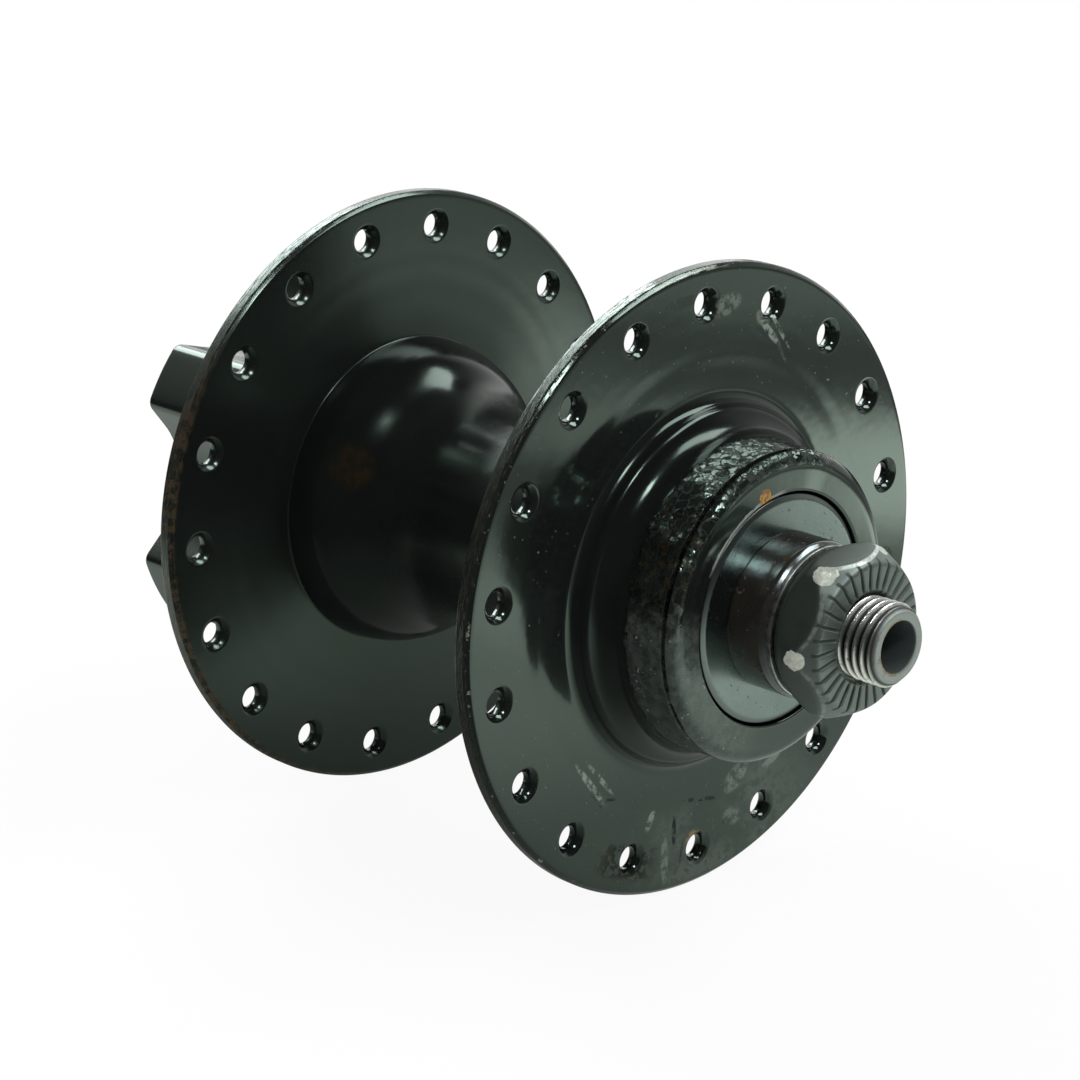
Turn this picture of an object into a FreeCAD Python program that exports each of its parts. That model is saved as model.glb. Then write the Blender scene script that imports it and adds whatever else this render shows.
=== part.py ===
"""Bicycle front hub for a six-bolt brake disc: hollow threaded axle, cup-and-cone bearings, one-piece shell.

All sizes are in millimetres. The hub axis lies along Y with the brake disc side towards +Y,
+Z is up, and the origin is midway between the two lock-nut faces.
"""
import FreeCAD, Part
import math
import os
from FreeCAD import Vector

# Axle and the width between the fork ends
axle_length = 108.0
axle_thread_d = 9.0
axle_bore_d = 5.5
axle_waist_d = 8.35
axle_threaded_end = 36.0
axle_end_chamfer = 0.75
axle_bore_chamfer = 0.3
waist_runout = 0.6
over_locknut = 100.0

# Lock nuts with serrated faces
nut_across_flats = 17.0
nut_over_corners = 18.9
nut_face_d = 15.8
nut_back_d = 15.5
nut_front_bevel = 2.4
right_nut_thickness = 6.3
right_nut_back_bevel = 2.4
left_nut_thickness = 4.6
left_nut_back_bevel = 1.75
right_nut_turn = 3.7
left_nut_turn = 20.0
serration_count = 32
serration_inner_d = 10.4
serration_depth = 0.28
serration_width = 0.55
nut_bore_bevel = 0.55

# Washers and the spacer behind the right lock nut
washer_d = 16.6
washer_thickness = 0.6
spacer_d = 17.1
spacer_edge_round = 0.45

# Bearings
ball_d = 4.7625
ball_count = 10
ball_circle_d = 16.0
contact_angle = 40.0
race_radius = 2.55
cup_race_span = 76.0
cone_race_from = -12.0
cone_race_to = 70.0
ball_inset = 6.87
cup_d = 23.6
cup_floor = 1.2
cup_mouth = 3.0
cup_hole_d = 16.6
cup_lip = 0.15
cup_corner_round = 0.8
cone_nose_d = 10.6
cone_nose_length = 2.4
cone_body_d = 15.2
cone_shoulder_step = 0.25
left_cone_flats = 15.0
left_cone_flat_length = 3.0

# Dust caps, and the shields and seals that turn inside them
cap_bore_d = 25.7
shield_gap = 0.3
shield_thickness = 0.8
shield_edge_round = 0.3
seal_gap = 0.5
seal_thickness = 1.2
seal_lip_thickness = 0.7
seal_root_d = 19.0
seal_rise = 0.8
right_cap_d = 34.2
right_cap_height = 1.32
right_cap_shoulder = 1.55
right_cap_crown = 0.24
right_cap_bore_bevel = 0.2
cap_sleeve_wall = 0.7
cap_sleeve_length = 1.4
left_cap_wall = 2.1
left_cap_height = 3.0
left_cap_bevel = 0.3

# Shell ends, barrel and flanges
right_end = 36.75
left_end = 41.3
seam_d = 34.3
seam_bevel = 0.2
collar_foot_d = 34.6
collar_straight = 5.23
collar_base_d = 39.2
foot_step = 1.2
neck_hollow = 0.35
foot_edge_in = 0.35
foot_edge_out = 0.3
foot_edge_length = 0.65
foot_edge_crown = 0.15
foot_fillet = 1.6
foot_fillet_hollow = 0.35
barrel_d = 23.9
barrel_bore_d = 17.0
right_flare_length = 4.8
right_flare_d = 34.0
right_flare_hollow = 1.2
bulge_d = 36.2
bulge_crown = 0.75
bulge_shoulder_d = 31.0
bulge_shoulder_from_flange = 7.2
bulge_blend_from_flange = 15.6
bulge_blend_hollow = 0.9
flange_d = 70.5
flange_thickness = 2.2
right_flange_face = 26.65
left_flange_face = 22.8
rim_bevel = 0.45

# Spoke holes
spokes_per_flange = 18
spoke_circle_d = 62.2
spoke_hole_d = 2.6
spoke_sink_d = 3.8
right_hole_phase = 10.0
left_hole_phase = 0.0

# Disc mount with its six lobes and the centring register
rotor_face = 39.5
register_d = 34.9
register_bevel = 0.4
bolt_circle_d = 44.0
bolt_count = 6
bolt_hole_d = 4.2
bolt_hole_depth = 12.0
bolt_hole_bevel = 0.35
drill_point_angle = 118.0
lobe_tip_d = 51.2
lobe_half_width = 5.0
lobe_draft = 18.0
lobe_corner = 1.4
lobe_valley_d = 37.8
lobe_phase = 25.4
lobe_root_fillet = 1.8
lobe_edge_bevel = 0.35

# Clearances and fits
thread_gap = 0.03
slip_gap = 0.1
press_gap = 0.02
ball_gap = 0.04

# Places worked out from the sizes above
half_width = over_locknut / 2
right_ball_plane = -(right_end + right_cap_height - ball_inset)
left_ball_plane = left_end - ball_inset
right_cap_face = -(right_end + right_cap_height)
right_spacer_outer = -(half_width - right_nut_thickness - washer_thickness)
left_cone_outer = half_width - left_nut_thickness - washer_thickness
thread_bore_d = axle_thread_d + 2 * thread_gap
shield_d = cap_bore_d - 2 * shield_gap
seal_d = cap_bore_d - 2 * seal_gap
cap_sleeve_d = cap_bore_d + 2 * cap_sleeve_wall
left_cap_d = cap_bore_d + 2 * left_cap_wall
cup_back = ball_d / 2 + ball_gap + cup_floor

CORNER_RISE = 1 - math.sqrt(0.5)
TOOL_OVERRUN = 1.0
AXIS = Vector(0, 1, 0)
CENTRE = Vector(0, 0, 0)


def point(y, r):
    """A point of a turned profile: y along the axis, r out from it."""
    return Vector(0, y, r)


def turned(edges):
    """Solid of revolution about the hub axis from the closed edges of a half profile."""
    face = Part.Face(Part.Wire(edges))
    return face.revolve(CENTRE, AXIS, 360)


def profile(corners):
    """Edges through corners; a corner given as three numbers bulges the edge that ends there."""
    edges = []
    last = None
    for corner in corners + corners[:1]:
        here = point(corner[0], corner[1])
        if last is not None:
            edges.append(bulged_edge(last, here, corner[2] if len(corner) > 2 else 0.0))
        last = here
    return edges


def bulged_edge(start, end, bulge):
    """Line from start to end, or an arc whose middle stands off the line by bulge (left is positive)."""
    if abs(bulge) < 1e-6:
        return Part.LineSegment(start, end).toShape()
    along = end - start
    side = Vector(0, -along.z, along.y)
    side.normalize()
    middle = (start + end) * 0.5 + side * bulge
    return Part.Arc(start, middle, end).toShape()


def ring(y_low, y_high, inner_d, outer_d):
    """Plain ring about the hub axis."""
    corners = [(y_low, inner_d / 2), (y_low, outer_d / 2), (y_high, outer_d / 2), (y_high, inner_d / 2)]
    return turned(profile(corners))


def around(shape, angle):
    """Copy of a shape turned about the hub axis, angle counted from +X towards +Z."""
    copy = shape.copy()
    copy.rotate(CENTRE, AXIS, -angle)
    return copy


def mirrored(shape):
    """Copy of a shape on the other side of the middle plane."""
    return shape.mirror(CENTRE, AXIS)


def make_axle():
    """Hollow axle: threaded ends, and a plain waist at the blank's diameter between them."""
    end = axle_length / 2
    thread = axle_thread_d / 2
    waist = axle_waist_d / 2
    bore = axle_bore_d / 2
    thread_from = end - axle_threaded_end
    half = [
        (0, bore),
        (0, waist),
        (thread_from - waist_runout, waist),
        (thread_from, thread),
        (end - axle_end_chamfer, thread),
        (end, thread - axle_end_chamfer),
        (end, bore + axle_bore_chamfer),
        (end - axle_bore_chamfer, bore),
    ]
    left = turned(profile(half))
    return left.fuse(mirrored(left)).removeSplitter()


def serration_groove():
    """One radial V groove, lying along +X in the plane y = 0 and cut towards +Y."""
    start = serration_inner_d / 2
    end = nut_over_corners
    half = serration_width / 2
    section = Part.makePolygon([
        Vector(start, -serration_depth, -half * 2),
        Vector(start, serration_depth, 0),
        Vector(start, -serration_depth, half * 2),
        Vector(start, -serration_depth, -half * 2),
    ])
    return Part.Face(section).extrude(Vector(end - start, 0, 0))


def make_locknut(face_y, outward, thickness, back_bevel, turn):
    """Hexagonal nut with both ends bevelled and a ring of radial serrations on its outer face."""
    corner_r = nut_across_flats / 2 / math.cos(math.pi / 6)
    corners = []
    for k in range(7):
        angle = math.radians(60 * k)
        corners.append(Vector(corner_r * math.cos(angle), 0, corner_r * math.sin(angle)))
    hexagon = Part.Face(Part.makePolygon(corners)).extrude(Vector(0, thickness, 0))
    bore = thread_bore_d / 2
    bevels = turned(profile([
        (0, bore + nut_bore_bevel),
        (0, nut_face_d / 2),
        (nut_front_bevel, nut_over_corners / 2),
        (thickness - back_bevel, nut_over_corners / 2),
        (thickness, nut_back_d / 2),
        (thickness, bore),
        (nut_bore_bevel, bore),
    ]))
    nut = around(hexagon.common(bevels), turn)
    groove = serration_groove()
    grooves = [around(groove, 360.0 * k / serration_count) for k in range(serration_count)]
    nut = nut.cut(grooves)
    if outward > 0:
        nut = mirrored(nut)
    nut.translate(Vector(0, face_y, 0))
    return nut


def make_washer(y_low):
    """Plain flat washer."""
    return ring(y_low, y_low + washer_thickness, axle_thread_d + 2 * slip_gap, washer_d)


def make_spacer():
    """Turned steel sleeve between the right cone and its washer, with one rounded edge."""
    outer = spacer_d / 2
    inner = axle_thread_d / 2 + slip_gap
    edge = spacer_edge_round
    return turned(profile([
        (right_spacer_outer, inner),
        (right_spacer_outer, outer - edge),
        (right_spacer_outer + edge, outer, edge * CORNER_RISE),
        (right_cap_face, outer),
        (right_cap_face, inner),
    ]))


def race_centre(towards):
    """Centre of a race's arc, as (outboard, radius), so the ball nearly touches at the contact angle."""
    angle = math.radians(contact_angle)
    shift = ball_d / 2 + ball_gap - race_radius
    outboard = -math.sin(angle) * towards * shift
    radius = ball_circle_d / 2 + math.cos(angle) * towards * shift
    return outboard, radius


def race_arc(centre, start, end, sign):
    """Arc edge of a race between two angles from the radial direction, in (outboard, radius)."""
    points = []
    for degrees in (start, (start + end) / 2, end):
        angle = math.radians(degrees)
        outboard = centre[0] - sign * race_radius * math.sin(angle)
        radius = centre[1] + sign * race_radius * math.cos(angle)
        points.append(point(outboard, radius))
    return Part.Arc(points[0], points[1], points[2]).toShape(), points[0], points[2]


def lines(points):
    """Straight edges through points."""
    return [Part.LineSegment(a, b).toShape() for a, b in zip(points, points[1:])]


def make_cup():
    """Pressed steel bearing cup, drawn with outboard along +Y and the ball plane at y = 0."""
    arc, start, end = race_arc(race_centre(1), 0, cup_race_span, 1)
    outer = cup_d / 2
    hole = cup_hole_d / 2
    corner = cup_corner_round
    back_edge = point(-cup_back, outer - corner)
    side_edge = point(-cup_back + corner, outer)
    edges = [arc]
    edges += lines([end, point(end.y - cup_lip, hole), point(-cup_back, hole), back_edge])
    edges.append(bulged_edge(back_edge, side_edge, corner * CORNER_RISE))
    edges += lines([side_edge, point(cup_mouth, outer), point(cup_mouth, start.z), start])
    return turned(edges)


def make_cone(body_end, head_end, flats):
    """Hardened bearing cone, drawn with outboard along +Y and the ball plane at y = 0.

    The body carries the seal and the dust shield. A head beyond body_end takes the cone wrench.
    """
    arc, start, end = race_arc(race_centre(-1), cone_race_from, cone_race_to, -1)
    bore = thread_bore_d / 2
    body = cone_body_d / 2
    nose = cone_nose_d / 2
    edges = lines([point(-cone_nose_length, bore), point(-cone_nose_length, nose), start])
    edges.append(arc)
    corners = [end, point(end.y + cone_shoulder_step, body), point(body_end, body)]
    if head_end > body_end:
        head = spacer_d / 2
        corners += [point(body_end, head), point(head_end, head), point(head_end, bore)]
    else:
        corners.append(point(body_end, bore))
    corners.append(point(-cone_nose_length, bore))
    edges += lines(corners)
    cone = turned(edges)
    if flats > 0:
        for side in (1, -1):
            block = Part.makeBox(spacer_d, left_cone_flat_length, spacer_d)
            block.translate(Vector(flats / 2, head_end - left_cone_flat_length, -spacer_d / 2))
            cone = cone.cut(around(block, 90 - 90 * side))
    return cone


def make_balls(plane_y):
    """Ring of loose bearing balls."""
    balls = []
    for k in range(ball_count):
        angle = 2 * math.pi * k / ball_count
        r = ball_circle_d / 2
        balls.append(Part.makeSphere(ball_d / 2, Vector(r * math.cos(angle), plane_y, r * math.sin(angle))))
    return Part.makeCompound(balls)


def make_shield():
    """Flat steel dust shield with a rounded outer edge, its outer face at y = 0, outboard along +Y."""
    edge = shield_edge_round
    outer = shield_d / 2
    inner = cone_body_d / 2 + press_gap
    return turned(profile([
        (-shield_thickness, inner),
        (-shield_thickness, outer),
        (-edge, outer),
        (0, outer - edge, edge * CORNER_RISE),
        (0, inner),
    ]))


def make_seal():
    """Rubber ring on the cone behind the shield, with a lip that leans outboard inside the cap."""
    inner = cone_body_d / 2 + press_gap
    front = -shield_thickness - press_gap
    back = front - seal_rise - seal_thickness
    return turned(profile([
        (back, inner),
        (back, seal_root_d / 2),
        (front - seal_lip_thickness, seal_d / 2),
        (front, seal_d / 2),
        (front - seal_rise, seal_root_d / 2),
        (front, inner),
    ]))


def make_right_cap():
    """Dust cap pressed into the right end of the shell: rounded ring with a sleeve behind it."""
    seam = -right_end
    face = right_cap_face
    outer = right_cap_d / 2
    bore = cap_bore_d / 2
    bevel = right_cap_bore_bevel
    return turned(profile([
        (face, bore + bevel),
        (face, outer - right_cap_shoulder),
        (seam - seam_bevel, outer, right_cap_crown),
        (seam, seam_d / 2 - seam_bevel),
        (seam, cap_sleeve_d / 2),
        (seam + cap_sleeve_length, cap_sleeve_d / 2),
        (seam + cap_sleeve_length, bore),
        (face + bevel, bore),
    ]))


def make_left_cap():
    """Dust cap sunk flush into the left end of the shell, inside the disc register."""
    bore = cap_bore_d / 2
    outer = left_cap_d / 2
    return turned(profile([
        (left_end - left_cap_height, bore),
        (left_end - left_cap_height, outer),
        (left_end - left_cap_bevel, outer),
        (left_end, outer - left_cap_bevel),
        (left_end, bore + left_cap_bevel),
        (left_end - left_cap_bevel, bore),
    ]))


def shell_outside():
    """Turned outside of the shell: right collar, right flange, barrel, bulge, left flange, disc tube."""
    rim = flange_d / 2
    right_face = -right_flange_face
    right_inner = right_face + flange_thickness
    left_face = left_flange_face
    left_inner = left_face - flange_thickness
    base_y = right_face - foot_step
    base = collar_base_d / 2
    register = register_d / 2
    barrel = barrel_d / 2
    return turned(profile([
        (-right_end, 0),
        (-right_end, seam_d / 2 - seam_bevel),
        (-right_end + seam_bevel, seam_d / 2),
        (-right_end + collar_straight, collar_foot_d / 2),
        (base_y - foot_edge_length, base - foot_edge_in, -neck_hollow),
        (base_y, base + foot_edge_out, foot_edge_crown),
        (right_face, base + foot_edge_out + foot_fillet, -foot_fillet_hollow),
        (right_face, rim - rim_bevel),
        (right_face + rim_bevel, rim),
        (right_inner - rim_bevel, rim),
        (right_inner, rim - rim_bevel),
        (right_inner, right_flare_d / 2),
        (right_inner + right_flare_length, barrel, -right_flare_hollow),
        (left_inner - bulge_blend_from_flange, barrel),
        (left_inner - bulge_shoulder_from_flange, bulge_shoulder_d / 2, -bulge_blend_hollow),
        (left_inner, bulge_d / 2, bulge_crown),
        (left_inner, rim - rim_bevel),
        (left_inner + rim_bevel, rim),
        (left_face - rim_bevel, rim),
        (left_face, rim - rim_bevel),
        (left_face, register),
        (left_end - register_bevel, register),
        (left_end, register - register_bevel),
        (left_end, 0),
    ]))


def lobe_outline(y):
    """Closed wire of the six-lobed mount at height y: tip arcs, rounded corners, sides, hollow valleys."""
    draft = math.radians(lobe_draft)
    tip = lobe_tip_d / 2
    valley = lobe_valley_d / 2
    reach = bolt_circle_d / 2
    offset = reach * math.sin(draft) + lobe_half_width * math.cos(draft)
    normal = (math.sin(draft), math.cos(draft))
    tip_angle = math.asin((offset - lobe_corner) / (tip - lobe_corner)) - draft
    step = math.pi / bolt_count
    lean = math.sin(step + draft)
    hollow = (valley * lean - offset) / (1 - lean)
    away = valley + hollow
    corner_c = ((tip - lobe_corner) * math.cos(tip_angle), (tip - lobe_corner) * math.sin(tip_angle))
    side_start = (corner_c[0] + lobe_corner * normal[0], corner_c[1] + lobe_corner * normal[1])
    side_end = (away * math.cos(step) - hollow * normal[0], away * math.sin(step) - hollow * normal[1])
    half = (tip_angle + math.pi / 2 - draft) / 2
    corner_mid = (corner_c[0] + lobe_corner * math.cos(half), corner_c[1] + lobe_corner * math.sin(half))
    tip_end = (tip * math.cos(tip_angle), tip * math.sin(tip_angle))

    def placed(spot, lobe, flip=1):
        turn = 2 * step * lobe + math.radians(lobe_phase)
        x, z = spot[0], spot[1] * flip
        return Vector(x * math.cos(turn) - z * math.sin(turn), y, x * math.sin(turn) + z * math.cos(turn))

    edges = []
    for lobe in range(bolt_count):
        edges.append(Part.Arc(placed(tip_end, lobe, -1), placed((tip, 0), lobe), placed(tip_end, lobe)))
        edges.append(Part.Arc(placed(tip_end, lobe), placed(corner_mid, lobe), placed(side_start, lobe)))
        edges.append(Part.LineSegment(placed(side_start, lobe), placed(side_end, lobe)))
        bottom = (valley * math.cos(step), valley * math.sin(step))
        edges.append(Part.Arc(placed(side_end, lobe), placed(bottom, lobe), placed(side_end, lobe + 1, -1)))
        edges.append(Part.LineSegment(placed(side_end, lobe + 1, -1), placed(side_start, lobe + 1, -1)))
        edges.append(Part.Arc(placed(side_start, lobe + 1, -1), placed(corner_mid, lobe + 1, -1),
                              placed(tip_end, lobe + 1, -1)))
    return Part.Wire([edge.toShape() for edge in edges])


def disc_mount():
    """Six-lobed boss between the left flange and the disc's seat, its outer edge lightly bevelled."""
    start = left_flange_face - flange_thickness / 2
    body = Part.Face(lobe_outline(start)).extrude(Vector(0, rotor_face - start, 0))
    top = [e for e in body.Edges if all(abs(v.Point.y - rotor_face) < 1e-6 for v in e.Vertexes)]
    return body.makeChamfer(lobe_edge_bevel, top)


def shell_inside():
    """Turned hollow of the shell: cap seats, cup seats and the clear bore between them."""
    cup_r = cup_d / 2 + press_gap
    bore = barrel_bore_d / 2
    right_cap_seat = cap_sleeve_d / 2 + press_gap
    left_cap_seat = left_cap_d / 2 + press_gap
    right_step = -right_end + cap_sleeve_length + slip_gap
    left_step = left_end - left_cap_height
    return turned(profile([
        (-right_end - TOOL_OVERRUN, 0),
        (-right_end - TOOL_OVERRUN, right_cap_seat),
        (right_step, right_cap_seat),
        (right_step, cup_r),
        (right_ball_plane + cup_back, cup_r),
        (right_ball_plane + cup_back, bore),
        (left_ball_plane - cup_back, bore),
        (left_ball_plane - cup_back, cup_r),
        (left_step, cup_r),
        (left_step, left_cap_seat),
        (left_end + TOOL_OVERRUN, left_cap_seat),
        (left_end + TOOL_OVERRUN, 0),
    ]))


def spoke_hole(face_y):
    """Through hole with a countersink on each face of a flange, along Y at +X on the spoke circle."""
    hole = spoke_hole_d / 2
    sink = spoke_sink_d / 2
    depth = sink - hole
    other = face_y + flange_thickness
    x = spoke_circle_d / 2
    start = Vector(x, face_y - TOOL_OVERRUN, 0)
    drill = Part.makeCylinder(hole, flange_thickness + 2 * TOOL_OVERRUN, start, AXIS)
    near = Part.makeCone(sink + depth, hole, 2 * depth, Vector(x, face_y - depth, 0), AXIS)
    far = Part.makeCone(hole, sink + depth, 2 * depth, Vector(x, other - depth, 0), AXIS)
    return drill.fuse([near, far])


def bolt_hole():
    """Blind bolt hole with a small lead-in bevel, at +X on the bolt circle."""
    x = bolt_circle_d / 2
    r = bolt_hole_d / 2
    bevel = bolt_hole_bevel
    bottom = rotor_face - bolt_hole_depth
    point_length = r / math.tan(math.radians(drill_point_angle / 2))
    drill = Part.makeCylinder(r, bolt_hole_depth + TOOL_OVERRUN, Vector(x, bottom, 0), AXIS)
    tip = Part.makeCone(0, r, point_length, Vector(x, bottom - point_length, 0), AXIS)
    lead = Part.makeCone(r, r + 2 * bevel, 2 * bevel, Vector(x, rotor_face - bevel, 0), AXIS)
    return drill.fuse([tip, lead])


def make_shell():
    """One-piece forged shell with its two drilled flanges and the six-lobed disc mount."""
    shell = shell_outside().fuse(disc_mount())
    root = [e for e in shell.Edges if is_lobe_root(e)]
    shell = shell.makeFillet(lobe_root_fillet, root)
    cutters = [shell_inside()]
    step = 360.0 / spokes_per_flange
    right = spoke_hole(-right_flange_face)
    left = spoke_hole(left_flange_face - flange_thickness)
    for k in range(spokes_per_flange):
        cutters.append(around(right, right_hole_phase + step * k))
        cutters.append(around(left, left_hole_phase + step * k))
    bolt = bolt_hole()
    for k in range(bolt_count):
        cutters.append(around(bolt, lobe_phase + 360.0 * k / bolt_count))
    return shell.cut(cutters)


def is_lobe_root(edge):
    """True for the edges where the lobed mount meets the left flange's outer face."""
    on_face = all(abs(v.Point.y - left_flange_face) < 1e-6 for v in edge.Vertexes)
    middle = edge.valueAt((edge.FirstParameter + edge.LastParameter) / 2)
    reach = math.hypot(middle.x, middle.z)
    return on_face and abs(middle.y - left_flange_face) < 1e-6 and reach < lobe_tip_d / 2 + TOOL_OVERRUN


def placed_outboard(shape, y, side):
    """Shape drawn with outboard along +Y, set with its y = 0 plane at y on side +1 (left) or -1 (right)."""
    if side < 0:
        shape = mirrored(shape)
    else:
        shape = shape.copy()
    shape.translate(Vector(0, y, 0))
    return shape


def build_all():
    """Every sub-part by its name."""
    cup = make_cup()
    right_cone = make_cone(ball_inset, ball_inset, 0)
    left_cone = make_cone(ball_inset, left_cone_outer - left_ball_plane, left_cone_flats)
    shield = make_shield()
    seal = make_seal()
    right_locknut = make_locknut(-half_width, -1, right_nut_thickness, right_nut_back_bevel, right_nut_turn)
    left_locknut = make_locknut(half_width, 1, left_nut_thickness, left_nut_back_bevel, left_nut_turn)
    return {
        "axle": make_axle(),
        "right_locknut": right_locknut,
        "left_locknut": left_locknut,
        "right_washer": make_washer(right_spacer_outer - washer_thickness),
        "left_washer": make_washer(left_cone_outer),
        "right_spacer": make_spacer(),
        "right_cone": placed_outboard(right_cone, right_ball_plane, -1),
        "left_cone": placed_outboard(left_cone, left_ball_plane, 1),
        "right_dust_shield": placed_outboard(shield, right_cap_face, -1),
        "left_dust_shield": placed_outboard(shield, left_end, 1),
        "right_lip_seal": placed_outboard(seal, right_cap_face, -1),
        "left_lip_seal": placed_outboard(seal, left_end, 1),
        "hub_shell": make_shell(),
        "right_bearing_cup": placed_outboard(cup, right_ball_plane, -1),
        "left_bearing_cup": placed_outboard(cup, left_ball_plane, 1),
        "right_dust_cap": make_right_cap(),
        "left_dust_cap": make_left_cap(),
        "right_bearing_balls": make_balls(right_ball_plane),
        "left_bearing_balls": make_balls(left_ball_plane),
    }


def export_all():
    """Write one STEP file for each sub-part."""
    os.makedirs("parts", exist_ok=True)
    for name, shape in build_all().items():
        shape.exportStep("parts/" + name + ".step")
        print(name, "solids", len(shape.Solids), "valid", shape.isValid(), "volume", round(shape.Volume, 1))


export_all()
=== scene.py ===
"""The looks of a bicycle front hub, piece by piece in the order in which it is put together.

Shapes are written in millimetres, with the hub axis along Y, and become metres when a mesh is made.
"""
import math
import bmesh
import bpy
import numpy as np
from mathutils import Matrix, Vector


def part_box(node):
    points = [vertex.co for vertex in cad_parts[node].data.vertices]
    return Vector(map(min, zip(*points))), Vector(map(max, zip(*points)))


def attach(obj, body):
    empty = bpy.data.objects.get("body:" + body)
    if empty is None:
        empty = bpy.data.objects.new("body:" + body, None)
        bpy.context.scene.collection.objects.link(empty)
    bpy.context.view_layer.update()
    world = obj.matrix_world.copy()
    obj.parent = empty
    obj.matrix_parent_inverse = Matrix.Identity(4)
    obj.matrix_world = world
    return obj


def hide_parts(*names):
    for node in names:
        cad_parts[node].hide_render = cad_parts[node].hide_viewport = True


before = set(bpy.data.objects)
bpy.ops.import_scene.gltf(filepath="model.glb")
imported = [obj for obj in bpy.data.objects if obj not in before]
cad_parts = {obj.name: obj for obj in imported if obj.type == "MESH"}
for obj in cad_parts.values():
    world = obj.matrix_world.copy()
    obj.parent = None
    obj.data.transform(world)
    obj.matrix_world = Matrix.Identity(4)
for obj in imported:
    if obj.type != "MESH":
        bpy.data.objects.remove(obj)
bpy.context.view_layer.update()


# Axle: a hollow steel rod, turned down between its ends, with a rolled thread of 1 mm pitch on both ends.
# The thread has been clamped in fork ends, so its grey coat is worn bright along the crests.
MM = 0.001


def node_ends(node):
    """Lowest and highest place of a node along the hub axis, in millimetres."""
    low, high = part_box(node)
    return low.y / MM, high.y / MM


def polar(radius, degrees):
    """Place (x, z) off the hub axis: radius times the cosine and the sine of the angle from X."""
    turn = math.radians(degrees)
    return radius * math.cos(turn), radius * math.sin(turn)


def round_angles(columns, start=0.0):
    """Evenly spaced angles once round, in radians."""
    return np.radians(start) + 2 * np.pi * np.arange(columns) / columns


def turned(profile, angles):
    """Surface of revolution: every profile point (y, r) goes round the hub axis through these angles."""
    profile = np.asarray(profile, float)
    y, r = profile[:, :1], profile[:, 1:2]
    return np.stack([r * np.cos(angles), y + 0 * angles, r * np.sin(angles)], axis=-1)


def grid_quads(rows, columns, first):
    """Four-sided faces of a grid of points numbered row by row, whose last column meets its first."""
    i = np.arange(rows - 1)[:, None] * columns
    j = np.arange(columns)[None, :]
    k = (j + 1) % columns
    quads = np.stack([i + j, i + k, i + columns + k, i + columns + j], axis=-1)
    return quads.reshape(-1, 4) + first


def make_piece(name, grids, body, node, finish):
    """One closed mesh from grids of points in millimetres, welded along their shared borders."""
    weld = 0.002
    points, faces, count = [], [], 0
    for grid in grids:
        rows, columns = grid.shape[:2]
        points.append(grid.reshape(-1, 3))
        faces.append(grid_quads(rows, columns, count))
        count += rows * columns
    mesh = bpy.data.meshes.new(name)
    mesh.from_pydata(np.concatenate(points) * MM, [], np.concatenate(faces))
    work = bmesh.new()
    work.from_mesh(mesh)
    bmesh.ops.remove_doubles(work, verts=work.verts, dist=weld * MM)
    bmesh.ops.recalc_face_normals(work, faces=work.faces)
    work.to_mesh(mesh)
    work.free()
    mesh.polygons.foreach_set("use_smooth", np.ones(len(mesh.polygons), bool))
    mesh.materials.append(finish)
    made = bpy.data.objects.new(name, mesh)
    bpy.context.scene.collection.objects.link(made)
    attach(made, body)
    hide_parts(node)
    return made


def eased(corners, closed=False, steps=3, arc_steps=8):
    """Profile through corners (y, r, ease, bulge), with soft corners and round stretches.

    A corner is a parabola that leaves one side and meets the next at a distance of ease from it. Bulge is
    how far the middle of the side that ends there stands off its chord, to the left as in an arc. A long
    straight side gets a point just inside each of its ends, so that it stays flat in the shading.
    """
    hold = 0.12
    most_ease = 0.49
    least_gap = 0.02
    corners = [tuple(c) + (0.0,) * (4 - len(c)) for c in corners]
    ring = corners + corners[:1] if closed else corners
    sides = []
    for a, b in zip(ring, ring[1:]):
        start, end = np.array(a[:2]), np.array(b[:2])
        length = np.linalg.norm(end - start)
        along = (end - start) / length
        left = np.array([-along[1], along[0]])
        first = min(a[2] / length, most_ease)
        last = 1 - min(b[2] / length, most_ease)
        bulge = b[3]
        if bulge:
            share = np.linspace(first, last, arc_steps + 1)
            radius = ((length / 2) ** 2 + bulge ** 2) / (2 * abs(bulge))
            height = np.sqrt(np.maximum(radius ** 2 - ((share - 0.5) * length) ** 2, 0))
            lift = height - (radius - abs(bulge))
            offset = np.sign(bulge) * lift[:, None]
        else:
            near = (first + hold / length, last - hold / length) if length > 4 * hold else ()
            share = np.array([first, *(s for s in near if first + least_gap < s < last - least_gap), last])
            offset = 0.0
        sides.append(start + share[:, None] * length * along + offset * left)
    line = []
    for k, side in enumerate(sides):
        if ring[k][2] > 0 and (k > 0 or closed):
            before = sides[k - 1][-1]
            t = np.linspace(0, 1, steps + 1)[1:-1, None]
            line.append((1 - t) ** 2 * before + 2 * t * (1 - t) * np.array(ring[k][:2]) + t ** 2 * side[0])
        line.append(side)
    line = np.concatenate(line)
    if closed:
        line = np.concatenate([line, line[:1]])
    keep = np.r_[True, np.linalg.norm(np.diff(line, axis=0), axis=1) > 1e-6]
    return line[keep]


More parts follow.
